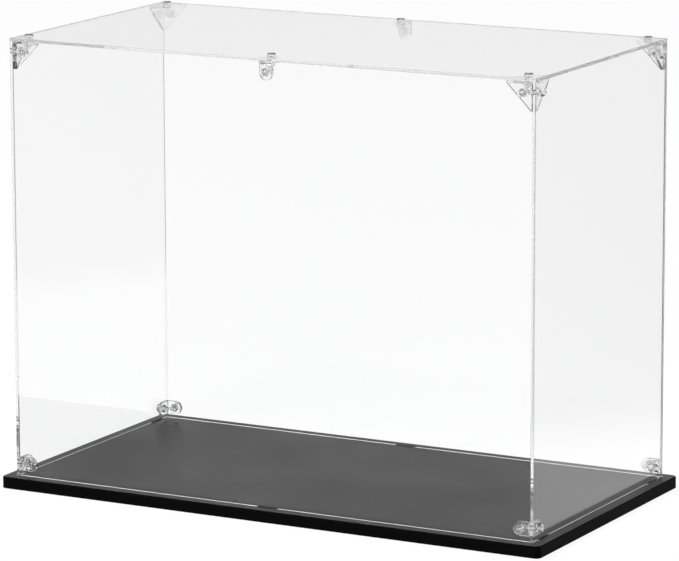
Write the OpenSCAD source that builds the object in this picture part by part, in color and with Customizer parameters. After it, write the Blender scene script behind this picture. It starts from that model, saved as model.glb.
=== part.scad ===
// Knock-down display case for a football: five clear sheets held together at the corners by
// moulded brackets and small clear screws, standing in slots in a black two-layer base.
// The origin is the middle of the underside of the base. +Z is up and -Y is the front.

/* [Case] */
// Width of the clear case, over the side walls
case_w = 390; // [250:5:700]
// Depth of the clear case, over the front and back walls
case_d = 200; // [150:5:450]
// Height of the clear case above the deck of the base
case_h = 300; // [120:5:600]
// Thickness of the clear sheets
sheet_t = 2; // [1.5:0.1:3]

/* [Base] */
// Width of the rim of the base outside the walls
rim_w = 8; // [4:0.5:20]
// Thickness of the upper layer, which the slots go through
upper_layer_t = 5; // [3:0.5:8]
// Thickness of the plain lower layer, which closes the slots from below
lower_layer_t = 3; // [2:0.5:6]
// Corner radius of the base, seen from above
base_corner_r = 4; // [1.5:0.5:10]
// Width of the bevel along the upper edge of the base
base_bevel = 0.6; // [0.3:0.1:1]

/* [Slots and tabs] */
// Length of each bridge that is left uncut between two slots
bridge_l = 15; // [6:0.5:24]
// Length of the tab at each end of a side wall
end_tab_l = 8; // [4:0.5:14]
// Play between a slot and the wall that stands in it, on each side
slot_play = 0.2; // [0.1:0.05:0.4]
// Gap between a bridge and the notch of the wall above it
notch_gap = 0.3; // [0.2:0.1:1]

/* [Corner brackets] */
// Length of each leg of a three-way corner bracket
corner_leg_l = 19; // [17:0.5:26]
// Thickness of the three flanges of a corner bracket
corner_flange_t = 2; // [1.5:0.1:2.4]

/* [Angle brackets] */
// Length of the arms of an angle bracket
arm_l = 13; // [12.5:0.5:20]
// Width of the arms of an angle bracket
arm_w = 9.5; // [7:0.5:12]
// Thickness of the arms of an angle bracket
arm_t = 2.2; // [1.5:0.1:2.4]
// Radius of the fillet in the angle of an angle bracket
arm_fillet_r = 1.2; // [0.5:0.1:1.6]
// Height of the lower angle brackets above the deck, to the middle of the arm
foot_arm_z = 8; // [6.5:0.5:20]

/* [Screws and bosses] */
// Distance from an outer edge of the case to the nearest row of screws
screw_inset = 9.5; // [9.2:0.1:11]
// Diameter of the thread of a screw
screw_d = 3; // [2.5:0.1:3.5]
// Length of a screw below its head
screw_l = 7.5; // [6:0.1:7.5]
// Diameter of the head of a screw
head_d = 6; // [5:0.1:7]
// Height of the head of a screw
head_h = 2.1; // [1.5:0.1:3]
// Radius of the rounding on top of the head
head_round_r = 0.9; // [0.3:0.1:1.2]
// Play between a screw and the hole in a sheet, on each side
sheet_hole_play = 0.2; // [0.1:0.05:0.4]
// Play between a screw and the hole in a bracket, on each side
thread_play = 0.05; // [0.03:0.01:0.1]
// Diameter of the boss round a hole in a bracket
boss_d = 5.6; // [5:0.1:6]
// Height of the boss above the flange or arm that carries it
boss_h = 2.2; // [1:0.1:2.4]

/* [Hidden] */
$fn = 64;

// The sides of the case, as factors of X and Y
LEFT = -1;
RIGHT = 1;
FRONT = -1;
BACK = 1;

// Colours
BASE_BLACK = [0.09, 0.09, 0.095];
CLEAR_SHEET = [0.88, 0.93, 0.95, 0.3];
CLEAR_FITTING = [0.80, 0.86, 0.90, 0.6];

// Levels above the underside of the base
deck_z = lower_layer_t + upper_layer_t;
case_top_z = deck_z + case_h;
ceiling_z = case_top_z - sheet_t;

// The space inside the walls
inner_w = case_w - 2 * sheet_t;
inner_d = case_d - 2 * sheet_t;

// Plan of the base
base_w = case_w + 2 * rim_w;
base_d = case_d + 2 * rim_w;

// A notch is a little longer than the bridge that it straddles
notch_l = bridge_l + 2 * slot_play;
end_bridge_y = case_d / 2 - end_tab_l - notch_l / 2;

// Rows of screws
screw_row_x = case_w / 2 - screw_inset;
screw_row_y = case_d / 2 - screw_inset;
screw_row_z = case_top_z - screw_inset;
foot_row_z = deck_z + foot_arm_z;

// From the inner face of one sheet to a screw that goes through its neighbour
hole_from_corner = screw_inset - sheet_t;
sheet_hole_d = screw_d + 2 * sheet_hole_play;
bracket_hole_d = screw_d + 2 * thread_play;

// Where the screws go through each sheet
function top_hole_spots() =
    [for (x = [-1, 0, 1], y = [FRONT, BACK]) [x * screw_row_x, y * screw_row_y]];
function long_wall_hole_spots() = concat(
    [for (x = [-1, 0, 1]) [x * screw_row_x, screw_row_z]],
    [for (x = [LEFT, RIGHT]) [x * screw_row_x, foot_row_z]]
);
function side_wall_hole_spots() =
    [for (y = [FRONT, BACK], z = [foot_row_z, screw_row_z]) [y * screw_row_y, z]];

// Turns that carry the XY plane to the XY, YZ and ZX planes
CORNER_TURNS = [[0, 0, 0], [90, 0, 90], [0, -90, -90]];

// ---- places ----

// Puts its children on the outer face of the front wall, with their +Z outwards
module on_front() {
    translate([0, -case_d / 2, 0]) rotate([90, 0, 0]) children();
}

// Puts its children on the outer face of the right wall, with their +Z outwards
module on_right() {
    translate([case_w / 2, 0, 0]) rotate([90, 0, 90]) children();
}

module on_back() {
    mirror([0, 1, 0]) on_front() children();
}

module on_left() {
    mirror([1, 0, 0]) on_right() children();
}

module on_top() {
    translate([0, 0, case_top_z]) children();
}

// Turns the +X +Y quarter of its children into the inner corner at the given sides
module in_corner(side_x, side_y, z) {
    translate([side_x * inner_w / 2, side_y * inner_d / 2, z])
        mirror([side_x == RIGHT ? 1 : 0, 0, 0])
            mirror([0, side_y == BACK ? 1 : 0, 0])
                children();
}

// ---- base ----

// Side profile of a slab with a bevel along both upper edges
function bevelled_profile(width, height) = [
    [-width / 2, 0],
    [width / 2, 0],
    [width / 2, height - base_bevel],
    [width / 2 - base_bevel, height],
    [-width / 2 + base_bevel, height],
    [-width / 2, height - base_bevel]
];

module rounded_outline() {
    square([base_w - 2 * base_corner_r, base_d], center = true);
    square([base_w, base_d - 2 * base_corner_r], center = true);
    for (x = [LEFT, RIGHT], y = [FRONT, BACK])
        translate([x * (base_w / 2 - base_corner_r), y * (base_d / 2 - base_corner_r)])
            circle(base_corner_r);
}

// Slab with rounded corners and a bevelled upper edge
module bevelled_slab(height) {
    rotate([90, 0, 0])
        linear_extrude(base_d - 2 * base_corner_r, center = true)
            polygon(bevelled_profile(base_w, height));
    rotate([90, 0, 90])
        linear_extrude(base_w - 2 * base_corner_r, center = true)
            polygon(bevelled_profile(base_d, height));
    for (x = [LEFT, RIGHT], y = [FRONT, BACK])
        translate([x * (base_w / 2 - base_corner_r), y * (base_d / 2 - base_corner_r), 0])
            rotate_extrude()
                intersection() {
                    polygon(bevelled_profile(2 * base_corner_r, height));
                    square([base_corner_r, height]);
                }
}

// The slots seen from above: one ring round the walls, broken by six bridges
module slot_outline() {
    difference() {
        square([case_w + 2 * slot_play, case_d + 2 * slot_play], center = true);
        square([inner_w - 2 * slot_play, inner_d - 2 * slot_play], center = true);
        for (y = [FRONT, BACK])
            translate([0, y * (case_d - sheet_t) / 2])
                square([bridge_l, sheet_t + 4 * slot_play], center = true);
        for (x = [LEFT, RIGHT], y = [FRONT, BACK])
            translate([x * (case_w - sheet_t) / 2, y * end_bridge_y])
                square([sheet_t + 4 * slot_play, bridge_l], center = true);
    }
}

module base_upper_layer() {
    color(BASE_BLACK)
        translate([0, 0, lower_layer_t])
            difference() {
                bevelled_slab(upper_layer_t);
                translate([0, 0, -1])
                    linear_extrude(upper_layer_t + 2) slot_outline();
            }
}

module base_lower_layer() {
    color(BASE_BLACK)
        linear_extrude(lower_layer_t) rounded_outline();
}

// ---- clear sheets ----

// Flat sheet that lies behind the XY plane, with holes for the screws
module drilled_sheet(spots) {
    translate([0, 0, -sheet_t])
        linear_extrude(sheet_t)
            difference() {
                children();
                for (spot = spots)
                    translate(spot) circle(d = sheet_hole_d);
            }
}

// Rectangle from the floor of the slots to the underside of the top sheet
module wall_outline(width, notch_places) {
    difference() {
        translate([-width / 2, lower_layer_t])
            square([width, ceiling_z - lower_layer_t]);
        for (place = notch_places)
            translate([place - notch_l / 2, lower_layer_t - 1])
                square([notch_l, upper_layer_t + notch_gap + 1]);
    }
}

module long_wall() {
    color(CLEAR_SHEET)
        drilled_sheet(long_wall_hole_spots())
            wall_outline(inner_w, [0]);
}

module side_wall() {
    color(CLEAR_SHEET)
        drilled_sheet(side_wall_hole_spots())
            wall_outline(case_d, [-end_bridge_y, end_bridge_y]);
}

module front_panel() {
    on_front() long_wall();
}

module back_panel() {
    on_back() long_wall();
}

module left_panel() {
    on_left() side_wall();
}

module right_panel() {
    on_right() side_wall();
}

module top_panel() {
    color(CLEAR_SHEET)
        on_top()
            drilled_sheet(top_hole_spots())
                square([case_w, case_d], center = true);
}

// ---- brackets ----

// Three-way corner bracket in the +X +Y +Z corner: one flange and one boss on each plane
module corner_bracket() {
    color(CLEAR_FITTING)
        difference() {
            for (turn = CORNER_TURNS)
                rotate(turn) {
                    linear_extrude(corner_flange_t) corner_flange_outline();
                    translate([hole_from_corner, hole_from_corner, 0])
                        cylinder(d = boss_d, h = corner_flange_t + boss_h);
                }
            for (turn = CORNER_TURNS)
                rotate(turn)
                    translate([hole_from_corner, hole_from_corner, -1])
                        cylinder(d = bracket_hole_d, h = corner_flange_t + boss_h + 2);
        }
}

// Right triangle whose slanting edge ends where the neighbouring flanges begin
module corner_flange_outline() {
    polygon([
        [0, 0],
        [corner_leg_l, 0],
        [corner_leg_l, corner_flange_t],
        [corner_flange_t, corner_leg_l],
        [0, corner_leg_l]
    ]);
}

module top_bracket(side_x, side_y) {
    in_corner(side_x, side_y, ceiling_z)
        mirror([0, 0, 1])
            corner_bracket();
}

// Angle bracket with one arm along +X and one along +Y, of its width along Z
module angle_bracket() {
    color(CLEAR_FITTING)
        difference() {
            union() {
                angle_arm();
                mirror([1, -1, 0]) angle_arm();
                angle_fillet();
            }
            arm_hole();
            mirror([1, -1, 0]) arm_hole();
        }
}

// Arm along +X on the plane Y = 0, with a round end and a boss on its inner face
module angle_arm() {
    translate([0, 0, -arm_w / 2])
        cube([arm_l - arm_w / 2, arm_t, arm_w]);
    along_arm(arm_l - arm_w / 2)
        cylinder(d = arm_w, h = arm_t);
    along_arm(hole_from_corner)
        cylinder(d = boss_d, h = arm_t + boss_h);
}

module arm_hole() {
    along_arm(hole_from_corner)
        translate([0, 0, -1])
            cylinder(d = bracket_hole_d, h = arm_t + boss_h + 2);
}

// Puts its children on the arm along +X, that far from the corner, with their +Z along +Y
module along_arm(distance) {
    translate([distance, 0, 0]) rotate([-90, 0, 0]) children();
}

module angle_fillet() {
    translate([0, 0, -arm_w / 2])
        linear_extrude(arm_w)
            difference() {
                square(arm_t + arm_fillet_r);
                translate([arm_t + arm_fillet_r, arm_t + arm_fillet_r]) circle(arm_fillet_r);
            }
}

// One arm under the top sheet and one down the long wall, halfway along it
module middle_bracket(side_y) {
    translate([0, side_y * inner_d / 2, ceiling_z])
        mirror([0, side_y == BACK ? 1 : 0, 0])
            mirror([0, 0, 1])
                rotate([90, 0, 90])
                    angle_bracket();
}

// Both arms level, one on a long wall and one on a side wall
module foot_bracket(side_x, side_y) {
    in_corner(side_x, side_y, foot_row_z) angle_bracket();
}

module front_left_top_bracket() {
    top_bracket(LEFT, FRONT);
}

module front_right_top_bracket() {
    top_bracket(RIGHT, FRONT);
}

module back_left_top_bracket() {
    top_bracket(LEFT, BACK);
}

module back_right_top_bracket() {
    top_bracket(RIGHT, BACK);
}

module front_middle_bracket() {
    middle_bracket(FRONT);
}

module back_middle_bracket() {
    middle_bracket(BACK);
}

module front_left_foot_bracket() {
    foot_bracket(LEFT, FRONT);
}

module front_right_foot_bracket() {
    foot_bracket(RIGHT, FRONT);
}

module back_left_foot_bracket() {
    foot_bracket(LEFT, BACK);
}

module back_right_foot_bracket() {
    foot_bracket(RIGHT, BACK);
}

// ---- screws ----

// Screw with its head on the XY plane and its shank along -Z
module screw() {
    translate([0, 0, -screw_l]) cylinder(d = screw_d, h = screw_l);
    cylinder(d = head_d, h = head_h - head_round_r);
    cylinder(d = head_d - 2 * head_round_r, h = head_h);
    translate([0, 0, head_h - head_round_r])
        rotate_extrude()
            intersection() {
                translate([head_d / 2 - head_round_r, 0]) circle(head_round_r);
                square([head_d, head_h]);
            }
}

module screws(spots) {
    color(CLEAR_FITTING)
        for (spot = spots)
            translate(spot) screw();
}

module top_screws() {
    on_top() screws(top_hole_spots());
}

module front_screws() {
    on_front() screws(long_wall_hole_spots());
}

module back_screws() {
    on_back() screws(long_wall_hole_spots());
}

module left_screws() {
    on_left() screws(side_wall_hole_spots());
}

module right_screws() {
    on_right() screws(side_wall_hole_spots());
}

// ---- the whole case ----

base_upper_layer();
base_lower_layer();
front_panel();
back_panel();
left_panel();
right_panel();
top_panel();
front_left_top_bracket();
front_right_top_bracket();
back_left_top_bracket();
back_right_top_bracket();
front_middle_bracket();
back_middle_bracket();
front_left_foot_bracket();
front_right_foot_bracket();
back_left_foot_bracket();
back_right_foot_bracket();
top_screws();
front_screws();
back_screws();
left_screws();
right_screws();
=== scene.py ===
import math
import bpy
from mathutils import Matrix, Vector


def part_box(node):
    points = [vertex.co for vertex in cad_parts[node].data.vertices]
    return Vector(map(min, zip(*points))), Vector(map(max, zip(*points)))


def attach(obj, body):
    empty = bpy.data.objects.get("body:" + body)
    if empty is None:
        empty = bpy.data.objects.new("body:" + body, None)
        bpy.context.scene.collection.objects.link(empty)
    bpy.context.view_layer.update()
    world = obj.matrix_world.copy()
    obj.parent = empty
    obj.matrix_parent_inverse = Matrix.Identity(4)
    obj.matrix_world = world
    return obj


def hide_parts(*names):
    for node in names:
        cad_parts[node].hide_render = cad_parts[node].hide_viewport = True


bl_info = {
    "name": "Football display case",
    "version": (1, 0, 0),
    "blender": (4, 5, 0),
    "location": "3D View > Sidebar > Display Case",
    "description": "Dresses a knock-down clear display case with a black slab base",
    "category": "Add Mesh",
}

import bmesh
import bpy
from bpy.props import FloatProperty, FloatVectorProperty, IntProperty, PointerProperty
from mathutils import Matrix, Vector

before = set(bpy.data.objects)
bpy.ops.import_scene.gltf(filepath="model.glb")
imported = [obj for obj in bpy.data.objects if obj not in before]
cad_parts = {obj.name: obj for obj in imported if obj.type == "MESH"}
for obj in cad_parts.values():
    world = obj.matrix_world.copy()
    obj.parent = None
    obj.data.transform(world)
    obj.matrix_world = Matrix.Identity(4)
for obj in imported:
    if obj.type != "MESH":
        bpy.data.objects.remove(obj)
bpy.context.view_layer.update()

MM = 0.001

# Image that the lens is worked out for, in pixels
IMAGE_W = 679
SENSOR_MM = 36.0

# A face larger than this is flat. Round parts are made of smaller facets.
FLAT_AREA = 6 * MM * MM
# Edges between faces that turn by more than this are drawn sharp, or are beveled
SHARP_TURN = math.radians(30)
BEVEL_TURN = math.radians(35)
# Faces that turn by less than this are one flat face
FLAT_TURN = math.radians(0.5)
# Lengths that count as the same
CLOSE = 0.001 * MM

# Light runs a long way inside a clear sheet before it comes out of a cut edge
LIGHT_BOUNCES = 64
# Shine of plastic that reflects as its index of refraction says
FULL_SHINE = (1.0, 1.0, 1.0, 1.0)

SHEETS = ["front_panel", "back_panel", "left_panel", "right_panel", "top_panel"]
TOP_BRACKETS = [
    "front_left_top_bracket",
    "front_right_top_bracket",
    "back_left_top_bracket",
    "back_right_top_bracket",
]
ANGLE_BRACKETS = [
    "front_middle_bracket",
    "back_middle_bracket",
    "front_left_foot_bracket",
    "front_right_foot_bracket",
    "back_left_foot_bracket",
    "back_right_foot_bracket",
]


# ---- sizes and colours ----


class BaseLook(bpy.types.PropertyGroup):
    """Finish of the two black layers."""

    black: FloatVectorProperty(
        name="Black",
        description="Colour of the black sheet",
        subtype="COLOR",
        size=4,
        min=0.0,
        max=1.0,
        default=(0.004, 0.004, 0.0043, 1.0),
    )
    deck_gloss: FloatProperty(
        name="Deck gloss",
        description="Strength of the satin sheen of the upper skin, where 0.5 is plain plastic",
        default=0.16,
        min=0.0,
        max=1.0,
    )
    deck_roughness: FloatProperty(
        name="Deck roughness",
        description="Roughness of the satin upper skin",
        default=0.3,
        min=0.0,
        max=1.0,
    )
    edge_gloss: FloatProperty(
        name="Edge gloss",
        description="Strength of the sheen of the cut edges, where 0.5 is plain plastic",
        default=0.012,
        min=0.0,
        max=1.0,
    )
    edge_roughness: FloatProperty(
        name="Edge roughness",
        description="Roughness of the cut edges",
        default=0.45,
        min=0.0,
        max=1.0,
    )
    # The chamfer's pale colour, set below, is a painted glint along the foot of each wall
    slot_chamfer: FloatProperty(
        name="Slot chamfer",
        description="Width of the pale chamfer that the cutter leaves along each slot",
        unit="LENGTH",
        default=0.3 * MM,
        min=0.05 * MM,
        max=0.8 * MM,
    )
    # Pale colour of the slot chamfers: a painted glint along the foot of each wall
    chamfer_painted_glint: FloatVectorProperty(
        name="Pale chamfer",
        description="Colour of the rough chamfer along each slot",
        subtype="COLOR",
        size=4,
        min=0.0,
        max=1.0,
        default=(0.92, 0.92, 0.92, 1.0),
    )


class SheetLook(bpy.types.PropertyGroup):
    """Finish of the clear sheets."""

    tint: FloatVectorProperty(
        name="Tint",
        description="Share of the light that one pass through a sheet lets through",
        subtype="COLOR",
        size=4,
        min=0.0,
        max=1.0,
        default=(0.987, 0.988, 0.988, 1.0),
    )
    shine: FloatVectorProperty(
        name="Shine",
        description="Factor on what a sheet reflects when it is looked at square on",
        subtype="COLOR",
        size=4,
        min=0.0,
        max=1.0,
        default=(0.2, 0.2, 0.2, 1.0),
    )
    edge_white: FloatVectorProperty(
        name="Edge white",
        description="Colour of the cut edges, which scatter the light that runs inside a sheet",
        subtype="COLOR",
        size=4,
        min=0.0,
        max=1.0,
        default=(0.97, 0.972, 0.972, 1.0),
    )
    edge_clear: FloatProperty(
        name="Edge clearness",
        description="Share of the light that passes through a cut edge instead of being scattered",
        default=0.8,
        min=0.0,
        max=1.0,
    )
    ior: FloatProperty(
        name="Index of refraction",
        description="Index of refraction of the clear plastic",
        default=1.49,
        min=1.0,
        max=2.0,
    )
    air_gap: FloatProperty(
        name="Air gap",
        description="Air left between each face of a sheet and what it touches",
        unit="LENGTH",
        default=0.04 * MM,
        min=0.0,
        max=0.1 * MM,
    )
    edge_bevel: FloatProperty(
        name="Edge bevel",
        description="Width of the tiny bevel left along each polished edge",
        unit="LENGTH",
        default=0.12 * MM,
        min=0.0,
        max=0.4 * MM,
    )


class FittingLook(bpy.types.PropertyGroup):
    """Finish of the clear moulded brackets and screws."""

    tint: FloatVectorProperty(
        name="Tint",
        description="Share of the light that one pass through a fitting lets through",
        subtype="COLOR",
        size=4,
        min=0.0,
        max=1.0,
        default=(0.975, 0.977, 0.977, 1.0),
    )
    ior: FloatProperty(
        name="Index of refraction",
        description="Index of refraction of the clear moulded plastic",
        default=1.57,
        min=1.0,
        max=2.0,
    )
    bracket_bevel: FloatProperty(
        name="Bracket edge radius",
        description="Radius of the soft edges that the mould leaves on a bracket",
        unit="LENGTH",
        default=0.3 * MM,
        min=0.05 * MM,
        max=0.5 * MM,
    )


class ScrewSizes(bpy.types.PropertyGroup):
    """Sizes of the clear screws, with their threads and recesses."""

    head_diameter: FloatProperty(
        name="Head diameter",
        description="Diameter of the head",
        unit="LENGTH",
        default=6.0 * MM,
        min=4.0 * MM,
        max=8.0 * MM,
    )
    head_round: FloatProperty(
        name="Head rounding",
        description="Width of the rounding on top of the head",
        unit="LENGTH",
        default=1.1 * MM,
        min=0.2 * MM,
        max=1.8 * MM,
    )
    head_dome: FloatProperty(
        name="Head dome",
        description="Height of the rounding on top of the head",
        unit="LENGTH",
        default=1.1 * MM,
        min=0.2 * MM,
        max=1.9 * MM,
    )
    diameter: FloatProperty(
        name="Thread diameter",
        description="Diameter over the crest of the thread",
        unit="LENGTH",
        default=3.0 * MM,
        min=2.0 * MM,
        max=4.0 * MM,
    )
    pitch: FloatProperty(
        name="Thread pitch",
        description="Distance from one turn of the thread to the next",
        unit="LENGTH",
        default=0.6 * MM,
        min=0.3 * MM,
        max=1.0 * MM,
    )
    thread_depth: FloatProperty(
        name="Thread depth",
        description="Height of the crest of the thread above its root",
        unit="LENGTH",
        default=0.3 * MM,
        min=0.1 * MM,
        max=0.5 * MM,
    )
    steps: IntProperty(
        name="Steps in a turn",
        description="Number of steps in one turn of the thread",
        default=24,
        min=12,
        max=48,
    )
    recess_reach: FloatProperty(
        name="Recess reach",
        description="Distance from the middle of the head to the end of each arm of the cross recess",
        unit="LENGTH",
        default=0.9 * MM,
        min=0.6 * MM,
        max=1.9 * MM,
    )
    recess_width: FloatProperty(
        name="Recess width",
        description="Width of each arm of the cross recess",
        unit="LENGTH",
        default=0.5 * MM,
        min=0.4 * MM,
        max=1.2 * MM,
    )
    recess_depth: FloatProperty(
        name="Recess depth",
        description="Depth of the cross recess",
        unit="LENGTH",
        default=0.6 * MM,
        min=0.5 * MM,
        max=1.5 * MM,
    )


class StageLook(bpy.types.PropertyGroup):
    """Camera, floor and lights."""

    camera_place: FloatVectorProperty(
        name="Camera place",
        description="Where the camera stands",
        subtype="TRANSLATION",
        unit="LENGTH",
        default=(1.414363, -2.61508, 0.741476),
    )
    azimuth: FloatProperty(
        name="Azimuth",
        description="Turn of the camera round the case, from the front towards the right",
        subtype="ANGLE",
        default=math.radians(28.395),
    )
    elevation: FloatProperty(
        name="Elevation",
        description="Angle by which the camera looks down",
        subtype="ANGLE",
        default=math.radians(11.376),
    )
    roll: FloatProperty(
        name="Roll",
        description="Turn of the camera about the way it looks",
        subtype="ANGLE",
        default=math.radians(-0.157),
    )
    focal_px: FloatProperty(
        name="Focal length in pixels",
        description="Focal length, as a number of pixels of the image",
        default=4505.017,
        min=500.0,
    )
    floor_side: FloatProperty(
        name="Floor side",
        description="Length of a side of the pale floor",
        unit="LENGTH",
        default=60.0,
        min=5.0,
    )
    floor_glow: FloatProperty(
        name="Floor glow",
        description="Part of the floor's white that shadows don't reach",
        default=0.9,
        min=0.0,
        max=1.0,
    )
    room_level: FloatProperty(
        name="Room level",
        description="Level of the even light that falls on the case from all round",
        default=0.6,
        min=0.0,
        max=1.0,
    )
    wall_level: FloatProperty(
        name="Wall level",
        description="Level of the low surroundings as gloss shows them, where 1 is white",
        default=0.8,
        min=0.0,
        max=1.0,
    )
    ceiling_level: FloatProperty(
        name="Ceiling level",
        description="Level of the ceiling as gloss and clear plastic show it, where 1 is white",
        default=0.0,
        min=0.0,
        max=1.0,
    )
    front_level: FloatProperty(
        name="Front level",
        description="Factor on the level of the room in front of the case, as gloss shows it",
        default=0.4,
        min=0.0,
        max=1.0,
    )
    right_level: FloatProperty(
        name="Right level",
        description="Factor on the level of the room to the right of the case",
        default=0.15,
        min=0.0,
        max=1.0,
    )
    aside_level: FloatProperty(
        name="Aside level",
        description="Factor on the level of the floor beside the case, as gloss shows it",
        default=0.45,
        min=0.0,
        max=1.0,
    )
    lamp_level: FloatProperty(
        name="Lamp level",
        description="Factor on the power of all the lamps",
        default=1.0,
        min=0.0,
        max=3.0,
    )


# ---- materials ----

# Repeats to a metre of the noise behind each finish
SHEEN_PATCHES = 14.0
SKIN_GRAIN = 900.0
CUT_GRAIN = 700.0
CUTTER_SCRATCHES = 1200.0
BLADE_MARKS = 1500.0
POLISH_PATCHES = 60.0
SHEET_WAVES = 9.0
# Stretch of a grain: none, or drawn out into the upright marks of a saw
EVEN = (1.0, 1.0, 1.0)
UPRIGHT = (1.0, 1.0, 0.15)
# Range that noise keeps to for the most part
NOISE_SPAN = (0.3, 0.7)


def new_material(name):
    """An empty material with its output node, and its node tree."""
    material = bpy.data.materials.new(name)
    material.use_nodes = True
    tree = material.node_tree
    tree.nodes.clear()
    output = tree.nodes.new("ShaderNodeOutputMaterial")
    return material, tree, output


def object_noise(tree, scale, detail=2.0, stretch=EVEN):
    """Noise on Object coordinates. Its scale is in repeats to a metre."""
    place = tree.nodes.new("ShaderNodeTexCoord")
    mapping = tree.nodes.new("ShaderNodeMapping")
    mapping.inputs["Scale"].default_value = stretch
    noise = tree.nodes.new("ShaderNodeTexNoise")
    noise.inputs["Scale"].default_value = scale
    noise.inputs["Detail"].default_value = detail
    tree.links.new(place.outputs["Object"], mapping.inputs["Vector"])
    tree.links.new(mapping.outputs["Vector"], noise.inputs["Vector"])
    return noise.outputs["Fac"]


def ranged(tree, value, low, high, span=NOISE_SPAN):
    """low where value is at the start of its span or before, high where it is at the end or past it."""
    node = tree.nodes.new("ShaderNodeMapRange")
    node.inputs["From Min"].default_value = span[0]
    node.inputs["From Max"].default_value = span[1]
    node.inputs["To Min"].default_value = low
    node.inputs["To Max"].default_value = high
    tree.links.new(value, node.inputs["Value"])
    return node.outputs["Result"]


def bumped(tree, height, strength, distance):
    """A normal bumped by height, with the distance in metres."""
    bump = tree.nodes.new("ShaderNodeBump")
    bump.inputs["Strength"].default_value = strength
    bump.inputs["Distance"].default_value = distance
    tree.links.new(height, bump.inputs["Height"])
    return bump.outputs["Normal"]


def clear_plastic(name, tint, shine, ior, roughness, waviness):
    """Clear plastic that bends light, with a slow waviness. Light from the lamps passes through it."""
    material, tree, output = new_material(name)
    shader = tree.nodes.new("ShaderNodeBsdfPrincipled")
    shader.inputs["Transmission Weight"].default_value = 1.0
    shader.inputs["IOR"].default_value = ior
    shader.inputs["Base Color"].default_value = tint
    shader.inputs["Specular Tint"].default_value = shine
    polish = ranged(tree, object_noise(tree, POLISH_PATCHES, detail=3.0), low=0.0, high=roughness)
    tree.links.new(polish, shader.inputs["Roughness"])
    waves = object_noise(tree, SHEET_WAVES, detail=1.0)
    tree.links.new(bumped(tree, waves, strength=waviness, distance=0.5 * MM), shader.inputs["Normal"])
    pass_lamp_light(tree, shader, output)
    return material


def pass_lamp_light(tree, shader, output):
    """Shows shader, but lets the rays towards the lamps straight through."""
    through = tree.nodes.new("ShaderNodeBsdfTransparent")
    path = tree.nodes.new("ShaderNodeLightPath")
    mix = tree.nodes.new("ShaderNodeMixShader")
    tree.links.new(path.outputs["Is Shadow Ray"], mix.inputs["Fac"])
    tree.links.new(shader.outputs["BSDF"], mix.inputs[1])
    tree.links.new(through.outputs["BSDF"], mix.inputs[2])
    tree.links.new(mix.outputs["Shader"], output.inputs["Surface"])


def cut_edge(name, look):
    """Polished cut edge of a clear sheet: pale, with the last fine marks of the blade."""
    material, tree, output = new_material(name)
    shader = tree.nodes.new("ShaderNodeBsdfPrincipled")
    shader.inputs["Transmission Weight"].default_value = look.edge_clear
    shader.inputs["IOR"].default_value = look.ior
    shader.inputs["Base Color"].default_value = look.edge_white
    marks = object_noise(tree, BLADE_MARKS)
    tree.links.new(ranged(tree, marks, low=0.02, high=0.06), shader.inputs["Roughness"])
    tree.links.new(bumped(tree, marks, strength=0.02, distance=0.01 * MM), shader.inputs["Normal"])
    pass_lamp_light(tree, shader, output)
    return material


def black_sheet(name, black, gloss, roughness, grain_scale, grain_stretch):
    """Black plastic sheet with a fine grain and a faintly uneven sheen."""
    material, tree, output = new_material(name)
    shader = tree.nodes.new("ShaderNodeBsdfPrincipled")
    shader.inputs["Base Color"].default_value = black
    shader.inputs["Specular IOR Level"].default_value = gloss
    patches = object_noise(tree, SHEEN_PATCHES)
    spread = 0.03
    sheen = ranged(tree, patches, low=roughness - spread, high=roughness + spread)
    tree.links.new(sheen, shader.inputs["Roughness"])
    grain = object_noise(tree, grain_scale, detail=4.0, stretch=grain_stretch)
    tree.links.new(bumped(tree, grain, strength=0.01, distance=0.02 * MM), shader.inputs["Normal"])
    tree.links.new(shader.outputs["BSDF"], output.inputs["Surface"])
    return material


def painted_glint_chamfer(name, pale):
    """Rough pale line on black plastic: a painted glint along the foot of each wall, with faint scratches."""
    material, tree, output = new_material(name)
    shader = tree.nodes.new("ShaderNodeBsdfPrincipled")
    scratches = object_noise(tree, CUTTER_SCRATCHES, detail=3.0)
    scratch_shade = 0.8
    shade = tree.nodes.new("ShaderNodeMix")
    shade.data_type = "RGBA"
    shade.inputs["A"].default_value = [scratch_shade * part for part in pale[:3]] + [1.0]
    shade.inputs["B"].default_value = pale
    tree.links.new(ranged(tree, scratches, low=0.0, high=1.0), shade.inputs["Factor"])
    tree.links.new(shade.outputs["Result"], shader.inputs["Base Color"])
    shader.inputs["Roughness"].default_value = 0.6
    tree.links.new(shader.outputs["BSDF"], output.inputs["Surface"])
    return material


def dress(obj, material):
    """Gives every slot of obj this material."""
    if not obj.material_slots:
        obj.data.materials.append(material)
    for part_slot in obj.material_slots:
        part_slot.material = material


# ---- meshes ----


def merged_copy(node):
    """The merged mesh of a CAD node as a bmesh, with flat areas joined into single faces."""
    shape = bmesh.new()
    shape.from_mesh(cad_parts[node].data)
    bmesh.ops.remove_doubles(shape, verts=shape.verts, dist=2 * CLOSE)
    bmesh.ops.dissolve_limit(
        shape,
        angle_limit=FLAT_TURN,
        use_dissolve_boundaries=False,
        verts=shape.verts,
        edges=shape.edges,
    )
    bmesh.ops.recalc_face_normals(shape, faces=shape.faces)
    return shape


def corners(shape):
    """Lowest and highest corner of shape."""
    low = Vector([min(v.co[axis] for v in shape.verts) for axis in range(3)])
    high = Vector([max(v.co[axis] for v in shape.verts) for axis in range(3)])
    return low, high


def pull_in(shape, gap):
    """Shrinks shape about its middle, so that a thin layer of air parts it from its neighbours."""
    low, high = corners(shape)
    middle = (low + high) / 2
    factors = [1 - 2 * gap / side for side in high - low]
    bmesh.ops.scale(shape, verts=shape.verts, vec=factors, space=Matrix.Translation(-middle))


def soften_edges(shape, width, segments):
    """Rounds each sharp edge of shape."""
    sharp = [edge for edge in shape.edges if edge.calc_face_angle(0) > BEVEL_TURN]
    bevel_edges(shape, sharp, width, segments)


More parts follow.
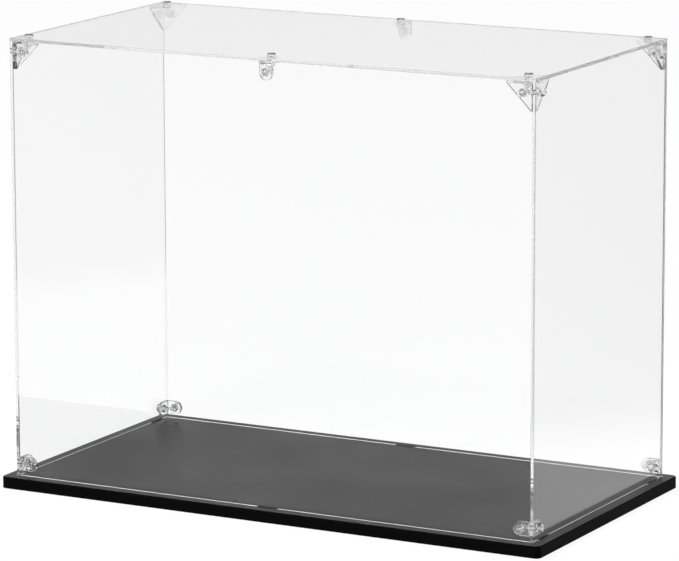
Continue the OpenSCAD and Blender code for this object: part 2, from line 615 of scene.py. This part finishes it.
def bevel_edges(shape, edges, width, segments):
    """Bevels these edges of shape."""
    bmesh.ops.bevel(
        shape,
        geom=edges,
        offset=width,
        offset_type="OFFSET",
        segments=segments,
        profile=0.5,
        affect="EDGES",
        material=-1,
        clamp_overlap=True,
    )


def as_piece(shape, name, node, materials, body):
    """Turns a bmesh into a piece that stands for a CAD node and rides on a body."""
    mesh = bpy.data.meshes.new(name)
    shape.to_mesh(mesh)
    shape.free()
    mesh.shade_smooth()
    mesh.set_sharp_from_angle(angle=SHARP_TURN)
    for face in mesh.polygons:
        face.use_smooth = face.area < FLAT_AREA
    for material in materials:
        mesh.materials.append(material)
    piece = bpy.data.objects.new(name, mesh)
    bpy.context.scene.collection.objects.link(piece)
    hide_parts(node)
    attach(piece, body)
    return piece


# ---- base ----

# Places of the materials on a layer
SKIN, EDGE, PAINTED_GLINT = 0, 1, 2
# How far past the outer faces of the walls a slot and its chamfer may reach
SLOT_MARGIN = 1 * MM
# Turn between the deck and the wall of a slot, at the least
SLOT_TURN = math.radians(60)
# Upward part of the normal of a level face, at the least, and of an upright one, at the most
LEVEL_RISE = 0.9
UPRIGHT_RISE = 0.6
# Width of the tiny bevel along the edges of the lower layer
LOWER_BEVEL = 0.1 * MM


def inside_walls(point):
    """True if point lies within the outline of the walls, a little past their slots."""
    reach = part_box("top_panel")[1]
    return all(abs(point[axis]) < reach[axis] + SLOT_MARGIN for axis in (0, 1))


def slot_edges(shape, deck_z):
    """The upper edges of the slots: where the deck meets a wall that faces into it."""
    found = []
    for edge in shape.edges:
        ends = [v.co for v in edge.verts]
        level = all(abs(end.z - deck_z) < 10 * CLOSE for end in ends)
        inside = all(inside_walls(end) for end in ends)
        if level and inside and edge.calc_face_angle(0) > SLOT_TURN:
            found.append(edge)
    return found


def sort_faces(shape):
    """Gives the level faces the skin, the chamfers of the slots the pale line of painted glint, and the rest
    the cut edge.
    """
    for face in shape.faces:
        rise = abs(face.normal.z)
        if rise > LEVEL_RISE:
            face.material_index = SKIN
        elif rise > UPRIGHT_RISE and inside_walls(face.calc_center_median()):
            face.material_index = PAINTED_GLINT
        else:
            face.material_index = EDGE


class DISPLAYCASE_OT_base(bpy.types.Operator):
    """Makes the two black layers of the base"""

    bl_idname = "displaycase.base"
    bl_label = "Base"

    def execute(self, context):
        look = context.scene.displaycase_base
        skin = black_sheet(
            "satin_black_skin", look.black, look.deck_gloss, look.deck_roughness, SKIN_GRAIN, EVEN)
        edge = black_sheet(
            "black_cut_edge", look.black, look.edge_gloss, look.edge_roughness, CUT_GRAIN, UPRIGHT)
        # The slot chamfers get a pale colour: a painted glint along the foot of each wall
        chamfer = painted_glint_chamfer("slot_chamfer_painted_glint", look.chamfer_painted_glint)

        upper = merged_copy("base_upper_layer")
        deck_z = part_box("base_upper_layer")[1][2]
        bevel_edges(upper, slot_edges(upper, deck_z), look.slot_chamfer, segments=1)
        sort_faces(upper)
        as_piece(upper, "base_upper_slab", "base_upper_layer", [skin, edge, chamfer], "base")

        lower = merged_copy("base_lower_layer")
        soften_edges(lower, LOWER_BEVEL, segments=1)
        sort_faces(lower)
        as_piece(lower, "base_lower_slab", "base_lower_layer", [skin, edge], "base")
        return {"FINISHED"}


# ---- clear sheets ----

# Places of the materials on a sheet
# The third place is the foot: black painted shade on the notches, where the clear walls touch the black
# bridges
FACE, CUT, FOOT = 0, 1, 2
# Part of the normal of a broad face that points through the sheet, at the least
BROAD_TURN = 0.99
# Upward part of the normal of a face that looks down, at the most
DOWN_TURN = -0.5
# Faces this close to the lowest point of a wall are the feet of its tabs, and not its notches
FOOT_MARGIN = 1 * MM


def mark_cut_edges(shape):
    """Gives the edges of a sheet the cut edge, and its notches over the bridges of the base the dark foot:
    black painted shade where they touch the base.
    """
    low, high = corners(shape)
    spans = list(high - low)
    thin = spans.index(min(spans))
    upright = thin != 2
    for face in shape.faces:
        above_tabs = face.calc_center_median().z > low.z + FOOT_MARGIN
        if abs(face.normal[thin]) > BROAD_TURN:
            face.material_index = FACE
        elif upright and above_tabs and face.normal.z < DOWN_TURN:
            face.material_index = FOOT
        else:
            face.material_index = CUT


class DISPLAYCASE_OT_sheets(bpy.types.Operator):
    """Makes the five clear sheets with their cut edges"""

    bl_idname = "displaycase.sheets"
    bl_label = "Clear sheets"

    def execute(self, context):
        look = context.scene.displaycase_sheets
        clear = clear_plastic(
            "clear_sheet", look.tint, look.shine, look.ior, roughness=0.003, waviness=0.0005)
        edge = cut_edge("clear_cut_edge", look)
        base = context.scene.displaycase_base
        # Black painted shade on the notches, where the clear walls touch the dark bridges of the base
        foot = black_sheet(
            "foot_painted_shade", base.black, base.edge_gloss, base.edge_roughness, CUT_GRAIN, EVEN)
        for node in SHEETS:
            shape = merged_copy(node)
            pull_in(shape, look.air_gap)
            soften_edges(shape, look.edge_bevel, segments=1)
            mark_cut_edges(shape)
            as_piece(shape, node + "_polished", node, [clear, edge, foot], "cover")
        return {"FINISHED"}


# ---- brackets ----


class DISPLAYCASE_OT_brackets(bpy.types.Operator):
    """Makes the moulded corner and angle brackets"""

    bl_idname = "displaycase.brackets"
    bl_label = "Brackets"

    def execute(self, context):
        look = context.scene.displaycase_fittings
        clear = clear_plastic(
            "clear_moulding", look.tint, FULL_SHINE, look.ior, roughness=0.004, waviness=0.01)
        for node in TOP_BRACKETS + ANGLE_BRACKETS:
            shape = merged_copy(node)
            soften_edges(shape, look.bracket_bevel, segments=3)
            as_piece(shape, node + "_moulded", node, [clear], "cover")
        return {"FINISHED"}


# ---- screws ----

# Sheet under the heads of each group, and the way the heads face
HEADS = {
    "top_screws": ("top_panel", (0, 0, 1)),
    "front_screws": ("front_panel", (0, -1, 0)),
    "back_screws": ("back_panel", (0, 1, 0)),
    "left_screws": ("left_panel", (-1, 0, 0)),
    "right_screws": ("right_panel", (1, 0, 0)),
}
# Steps of the rounding on a head
HEAD_STEPS = 8
# Width of the floor of a recess, as a share of its mouth
RECESS_TAPER = 0.7
# Each screw stops at its own turn: this much on from the one before
STOP_TURN = math.radians(137.5)


def thread(shape, sizes, length):
    """Threaded shank as one helical skin, from the XY plane down to -length, with both ends open."""
    crest = sizes.diameter / 2
    root = crest - sizes.thread_depth
    spare_turns = 2
    turns = math.ceil(length / sizes.pitch) + spare_turns
    start = -length - sizes.pitch
    profile = [(root, start), (crest, start + sizes.pitch / 2), (root, start + sizes.pitch)]
    points = [shape.verts.new((r, 0, z)) for r, z in profile]
    lines = [shape.edges.new(pair) for pair in zip(points, points[1:])]
    bmesh.ops.spin(
        shape,
        geom=points + lines,
        cent=(0, 0, 0),
        axis=(0, 0, 1),
        dvec=(0, 0, sizes.pitch / sizes.steps),
        angle=2 * math.pi * turns,
        steps=sizes.steps * turns,
        use_merge=False,
        use_duplicate=False,
    )
    bmesh.ops.remove_doubles(shape, verts=shape.verts, dist=sizes.pitch / sizes.steps / 4)
    for height, way in ((0.0, 1.0), (-length, -1.0)):
        bmesh.ops.bisect_plane(
            shape,
            geom=shape.verts[:] + shape.edges[:] + shape.faces[:],
            dist=CLOSE,
            plane_co=(0, 0, height),
            plane_no=(0, 0, way),
            clear_outer=True,
        )


def rim_at(shape, height):
    """The open edges that lie at that height."""
    return [
        edge for edge in shape.edges
        if edge.is_boundary and all(abs(v.co.z - height) < 2 * CLOSE for v in edge.verts)
    ]


def head(shape, sizes, height):
    """Grows the head out of the open upper rim of the shank and closes it."""
    head_r = sizes.head_diameter / 2
    profile = [(head_r, 0.0), (head_r, height - sizes.head_dome)]
    for step in range(1, HEAD_STEPS + 1):
        angle = math.pi / 2 * step / HEAD_STEPS
        profile.append((
            head_r - sizes.head_round * (1 - math.cos(angle)),
            height - sizes.head_dome * (1 - math.sin(angle)),
        ))
    rim = rim_at(shape, 0.0)
    for radius, level in profile:
        grown = bmesh.ops.extrude_edge_only(shape, edges=rim)["geom"]
        rim = [part for part in grown if isinstance(part, bmesh.types.BMEdge)]
        for vert in (part for part in grown if isinstance(part, bmesh.types.BMVert)):
            across = Vector((vert.co.x, vert.co.y, 0)).normalized() * radius
            vert.co = (across.x, across.y, level)
    bmesh.ops.edgeloop_fill(shape, edges=rim)


def cross_recess(shape, sizes, height):
    """Sinks a tapered cross into the flat top of the head."""
    half = sizes.recess_width / 2
    reach = sizes.recess_reach
    for place in (half, -half, reach, -reach):
        for way in ((1, 0, 0), (0, 1, 0)):
            top = [face for face in shape.faces if face.calc_center_median().z > height - CLOSE]
            # Keys of a dict, not a set, so that the order is the same each time
            parts = dict.fromkeys(top)
            for face in top:
                parts.update(dict.fromkeys(face.edges))
                parts.update(dict.fromkeys(face.verts))
            bmesh.ops.bisect_plane(
                shape,
                geom=list(parts),
                dist=CLOSE,
                plane_co=[place * part for part in way],
                plane_no=way,
            )
    arms = []
    for face in shape.faces:
        middle = face.calc_center_median()
        along, across = max(abs(middle.x), abs(middle.y)), min(abs(middle.x), abs(middle.y))
        if middle.z > height - CLOSE and along < reach and across < half:
            arms.append(face)
    sunk = bmesh.ops.extrude_face_region(shape, geom=arms)["geom"]
    floor = [part for part in sunk if isinstance(part, bmesh.types.BMVert)]
    bmesh.ops.translate(shape, verts=floor, vec=(0, 0, -sizes.recess_depth))
    bmesh.ops.scale(shape, verts=floor, vec=(RECESS_TAPER, RECESS_TAPER, 1))
    bmesh.ops.delete(shape, geom=arms, context="FACES")


def screw_mesh(sizes, length, head_height):
    """Mesh of one screw, with its head on the XY plane."""
    shape = bmesh.new()
    thread(shape, sizes, length)
    bmesh.ops.edgeloop_fill(shape, edges=rim_at(shape, -length))
    head(shape, sizes, head_height)
    cross_recess(shape, sizes, head_height)
    bmesh.ops.recalc_face_normals(shape, faces=shape.faces)
    mesh = bpy.data.meshes.new("screw")
    shape.to_mesh(mesh)
    shape.free()
    return mesh


def screw_spots(group, head_r):
    """Where the screws of a group go through the outer face of their sheet."""
    low, high = (Vector(corner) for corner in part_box(group))
    sheet, way = HEADS[group]
    axis = [abs(part) for part in way].index(1)
    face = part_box(sheet)[1 if way[axis] > 0 else 0][axis]
    rows = [(low[i] + head_r, high[i] - head_r) for i in range(3)]
    rows[axis] = (face, face)
    (left, right), (front, back), (foot, upper) = rows
    middle = (left + right) / 2
    if axis == 2:
        return [(x, y, face) for x in (left, middle, right) for y in (front, back)]
    if axis == 1:
        return [(x, face, upper) for x in (left, middle, right)] + [(x, face, foot) for x in (left, right)]
    return [(face, y, z) for y in (front, back) for z in (foot, upper)]


class DISPLAYCASE_OT_screws(bpy.types.Operator):
    """Makes the threaded screws"""

    bl_idname = "displaycase.screws"
    bl_label = "Screws"

    def execute(self, context):
        look = context.scene.displaycase_fittings
        sizes = context.scene.displaycase_screws
        clear = clear_plastic(
            "clear_screw_plastic", look.tint, FULL_SHINE, look.ior, roughness=0.01, waviness=0.01)
        low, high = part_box("top_screws")
        sheet_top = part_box("top_panel")[1][2]
        one = screw_mesh(sizes, sheet_top - low[2], high[2] - sheet_top)
        for group, (_, way) in HEADS.items():
            shape = bmesh.new()
            facing = Vector((0, 0, 1)).rotation_difference(Vector(way)).to_matrix().to_4x4()
            for index, spot in enumerate(screw_spots(group, sizes.head_diameter / 2)):
                first = len(shape.verts)
                shape.from_mesh(one)
                shape.verts.ensure_lookup_table()
                stop = Matrix.Rotation(index * STOP_TURN, 4, "Z")
                place = Matrix.Translation(spot) @ facing @ stop
                bmesh.ops.transform(shape, matrix=place, verts=shape.verts[first:])
            as_piece(shape, group + "_threaded", group, [clear], "cover")
        bpy.data.meshes.remove(one)
        return {"FINISHED"}


# ---- stage ----

# How far a direction points up, back or right, from -1 to 1, where the level of the room begins and
# ends its change towards the ceiling, the front and the right
CEILING_SPAN = (0.24, 0.42)
FRONT_SPAN = (-0.7, -0.2)
RIGHT_SPAN = (0.2, 0.8)
# The same for places on the floor, in metres: to the right of the camera's view, back, and to the right
FLOOR_RIGHT_SPAN = (0.32, 0.45)
FLOOR_FRONT_SPAN = (-0.15, -0.1)
FLOOR_LEFT_SPAN = (-0.25, 0.15)
# Colour of the floor for the light that it sends up to the case, and for the shadows that are seen on it
FLOOR_MATT = (0.6, 0.6, 0.6, 1.0)
FLOOR_SHADED = (0.12, 0.12, 0.12, 1.0)
# Gap between the underside of the base and the floor
FLOOR_DROP = 0.1 * MM

# Place, side and power of each lamp, and the point that they all face
LAMPS = {
    "key_lamp": ((-1.6, -1.4, 2.2), 1.4, 56.0),
    "fill_lamp": ((1.8, 0.6, 1.9), 1.6, 3.0),
}
LAMP_TARGET = (0.0, 0.0, 0.15)

# How far the camera sees, in metres
CLIP_END = 200.0


def feed(tree, value, socket):
    """Links a value to a socket, or sets the socket to a number."""
    if isinstance(value, (int, float)):
        socket.default_value = value
    else:
        tree.links.new(value, socket)


def reckoned(tree, operation, first, second):
    """Result of a math operation on two values, either of which may be a number."""
    node = tree.nodes.new("ShaderNodeMath")
    node.operation = operation
    feed(tree, first, node.inputs[0])
    feed(tree, second, node.inputs[1])
    return node.outputs["Value"]


def times(tree, first, second):
    """Product of two values."""
    return reckoned(tree, "MULTIPLY", first, second)


def mixed(tree, factor, first, second):
    """First where factor is 0 and second where it is 1."""
    node = tree.nodes.new("ShaderNodeMix")
    tree.links.new(factor, node.inputs["Factor"])
    feed(tree, first, node.inputs["A"])
    feed(tree, second, node.inputs["B"])
    return node.outputs["Result"]


def seen_factor(tree):
    """1 for rays from the camera and for those that gloss and clear plastic send on, 0 for the rest."""
    path = tree.nodes.new("ShaderNodeLightPath").outputs
    sent_on = reckoned(tree, "MAXIMUM", path["Is Glossy Ray"], path["Is Transmission Ray"])
    return reckoned(tree, "MAXIMUM", path["Is Camera Ray"], sent_on)


def straight_factor(tree):
    """1 for rays from the camera and for those that only pass through clear plastic, 0 for the rest."""
    path = tree.nodes.new("ShaderNodeLightPath").outputs
    direct = reckoned(tree, "MAXIMUM", path["Is Camera Ray"], path["Is Transmission Ray"])
    turns = reckoned(tree, "ADD", path["Glossy Depth"], path["Diffuse Depth"])
    return times(tree, direct, reckoned(tree, "LESS_THAN", turns, 0.5))


def white_world(scene, look):
    """White room with a dark ceiling, which the camera doesn't see, but gloss and clear plastic show.

    Gloss shows the room darker in front and to the right too. The light that falls on the case is even,
    but for the darker right.
    """
    world = bpy.data.worlds.new("white_room")
    scene.world = world
    world.use_nodes = True
    tree = world.node_tree
    tree.nodes.clear()
    output = tree.nodes.new("ShaderNodeOutputWorld")
    background = tree.nodes.new("ShaderNodeBackground")
    background.inputs["Color"].default_value = (1.0, 1.0, 1.0, 1.0)
    place = tree.nodes.new("ShaderNodeTexCoord")
    split = tree.nodes.new("ShaderNodeSeparateXYZ")
    tree.links.new(place.outputs["Generated"], split.inputs["Vector"])
    ceiling = ranged(tree, split.outputs["Z"], 1.0, look.ceiling_level, CEILING_SPAN)
    front = ranged(tree, split.outputs["Y"], look.front_level, 1.0, FRONT_SPAN)
    right = ranged(tree, split.outputs["X"], 1.0, look.right_level, RIGHT_SPAN)
    walls = times(tree, times(tree, front, right), look.wall_level)
    around = mixed(tree, straight_factor(tree), walls, 1.0)
    shown = times(tree, ceiling, around)
    even = times(tree, right, look.room_level)
    level = mixed(tree, seen_factor(tree), even, shown)
    path = tree.nodes.new("ShaderNodeLightPath")
    tree.links.new(mixed(tree, path.outputs["Is Camera Ray"], level, 1.0), background.inputs["Strength"])
    tree.links.new(background.outputs["Background"], output.inputs["Surface"])


def floor_level(tree, look):
    """Level of the floor's glow. Gloss shows it darker to the right, and in front on the left."""
    place = tree.nodes.new("ShaderNodeTexCoord")
    split = tree.nodes.new("ShaderNodeSeparateXYZ")
    tree.links.new(place.outputs["Object"], split.inputs["Vector"])
    aside = tree.nodes.new("ShaderNodeVectorMath")
    aside.operation = "DOT_PRODUCT"
    aside.inputs[1].default_value = (math.cos(look.azimuth), math.sin(look.azimuth), 0)
    tree.links.new(place.outputs["Object"], aside.inputs[0])
    dim_glow = look.floor_glow * look.aside_level
    right = ranged(tree, aside.outputs["Value"], look.floor_glow, dim_glow, FLOOR_RIGHT_SPAN)
    front = ranged(tree, split.outputs["Y"], 1 - look.aside_level, 0.0, FLOOR_FRONT_SPAN)
    left = ranged(tree, split.outputs["X"], 1.0, 0.0, FLOOR_LEFT_SPAN)
    shaded = mixed(tree, times(tree, front, left), right, 0.0)
    return mixed(tree, straight_factor(tree), shaded, look.floor_glow)


def floor_material(look):
    """White floor that keeps a faint shadow."""
    material, tree, output = new_material("white_floor")
    matt = tree.nodes.new("ShaderNodeBsdfDiffuse")
    matt.inputs["Color"].default_value = FLOOR_MATT
    glow = tree.nodes.new("ShaderNodeEmission")
    tree.links.new(floor_level(tree, look), glow.inputs["Strength"])
    soft = tree.nodes.new("ShaderNodeBsdfDiffuse")
    soft.inputs["Color"].default_value = FLOOR_SHADED
    shown = tree.nodes.new("ShaderNodeAddShader")
    tree.links.new(glow.outputs["Emission"], shown.inputs[0])
    tree.links.new(soft.outputs["BSDF"], shown.inputs[1])
    mix = tree.nodes.new("ShaderNodeMixShader")
    tree.links.new(seen_factor(tree), mix.inputs["Fac"])
    tree.links.new(matt.outputs["BSDF"], mix.inputs[1])
    tree.links.new(shown.outputs["Shader"], mix.inputs[2])
    tree.links.new(mix.outputs["Shader"], output.inputs["Surface"])
    return material


def camera_turn(azimuth, elevation, roll):
    """Rotation of a camera that looks at the case from that azimuth and elevation."""
    back = Vector((
        math.sin(azimuth) * math.cos(elevation),
        -math.cos(azimuth) * math.cos(elevation),
        math.sin(elevation),
    ))
    level_right = Vector((0, 0, 1)).cross(back).normalized()
    level_up = back.cross(level_right)
    right = level_right * math.cos(roll) + level_up * math.sin(roll)
    up = level_up * math.cos(roll) - level_right * math.sin(roll)
    return Matrix((right, up, back)).transposed().to_4x4()


def add_lamp(name, place, side, power):
    """Adds a soft square lamp that faces the target."""
    lamp = bpy.data.lights.new(name, "AREA")
    lamp.shape = "SQUARE"
    lamp.size = side
    lamp.energy = power
    holder = bpy.data.objects.new(name, lamp)
    bpy.context.scene.collection.objects.link(holder)
    holder.location = place
    facing = Vector(LAMP_TARGET) - Vector(place)
    holder.rotation_euler = facing.to_track_quat("-Z", "Y").to_euler()


class DISPLAYCASE_OT_stage(bpy.types.Operator):
    """Makes the camera, the floor and the lights"""

    bl_idname = "displaycase.stage"
    bl_label = "Stage"

    def execute(self, context):
        scene = context.scene
        look = scene.displaycase_stage

        camera = bpy.data.cameras.new("camera")
        camera.sensor_fit = "HORIZONTAL"
        camera.sensor_width = SENSOR_MM
        camera.lens = look.focal_px / IMAGE_W * SENSOR_MM
        camera.clip_end = CLIP_END
        holder = bpy.data.objects.new("camera", camera)
        scene.collection.objects.link(holder)
        turn = camera_turn(look.azimuth, look.elevation, look.roll)
        holder.matrix_world = Matrix.Translation(look.camera_place) @ turn
        scene.camera = holder

        floor_mesh = bpy.data.meshes.new("floor")
        shape = bmesh.new()
        bmesh.ops.create_grid(shape, x_segments=1, y_segments=1, size=look.floor_side / 2)
        bmesh.ops.translate(shape, verts=shape.verts, vec=(0, 0, -FLOOR_DROP))
        shape.to_mesh(floor_mesh)
        shape.free()
        floor = bpy.data.objects.new("floor", floor_mesh)
        scene.collection.objects.link(floor)
        dress(floor, floor_material(look))

        white_world(scene, look)
        for name, (place, side, power) in LAMPS.items():
            add_lamp(name, place, side, power * look.lamp_level)
        scene.cycles.max_bounces = LIGHT_BOUNCES
        scene.cycles.transmission_bounces = LIGHT_BOUNCES
        scene.cycles.glossy_bounces = LIGHT_BOUNCES
        scene.cycles.transparent_max_bounces = LIGHT_BOUNCES
        scene.view_settings.view_transform = "Standard"
        return {"FINISHED"}


class DISPLAYCASE_PT_sidebar(bpy.types.Panel):
    """Lists the operators of the display case"""

    bl_label = "Display Case"
    bl_idname = "DISPLAYCASE_PT_sidebar"
    bl_space_type = "VIEW_3D"
    bl_region_type = "UI"
    bl_category = "Display Case"

    def draw(self, context):
        for step in STEPS:
            self.layout.operator(step.bl_idname)


LOOKS = {
    "displaycase_base": BaseLook,
    "displaycase_sheets": SheetLook,
    "displaycase_fittings": FittingLook,
    "displaycase_screws": ScrewSizes,
    "displaycase_stage": StageLook,
}
STEPS = [
    DISPLAYCASE_OT_base,
    DISPLAYCASE_OT_sheets,
    DISPLAYCASE_OT_brackets,
    DISPLAYCASE_OT_screws,
    DISPLAYCASE_OT_stage,
]


def register():
    for look in LOOKS.values():
        bpy.utils.register_class(look)
    for name, look in LOOKS.items():
        setattr(bpy.types.Scene, name, PointerProperty(type=look))
    for step in STEPS:
        bpy.utils.register_class(step)
    bpy.utils.register_class(DISPLAYCASE_PT_sidebar)


def unregister():
    bpy.utils.unregister_class(DISPLAYCASE_PT_sidebar)
    for step in reversed(STEPS):
        bpy.utils.unregister_class(step)
    for name in LOOKS:
        delattr(bpy.types.Scene, name)
    for look in LOOKS.values():
        bpy.utils.unregister_class(look)


def main():
    register()
    bpy.ops.displaycase.base()
    bpy.ops.displaycase.sheets()
    bpy.ops.displaycase.brackets()
    bpy.ops.displaycase.screws()
    bpy.ops.displaycase.stage()


if __name__ == "__main__":
    main()
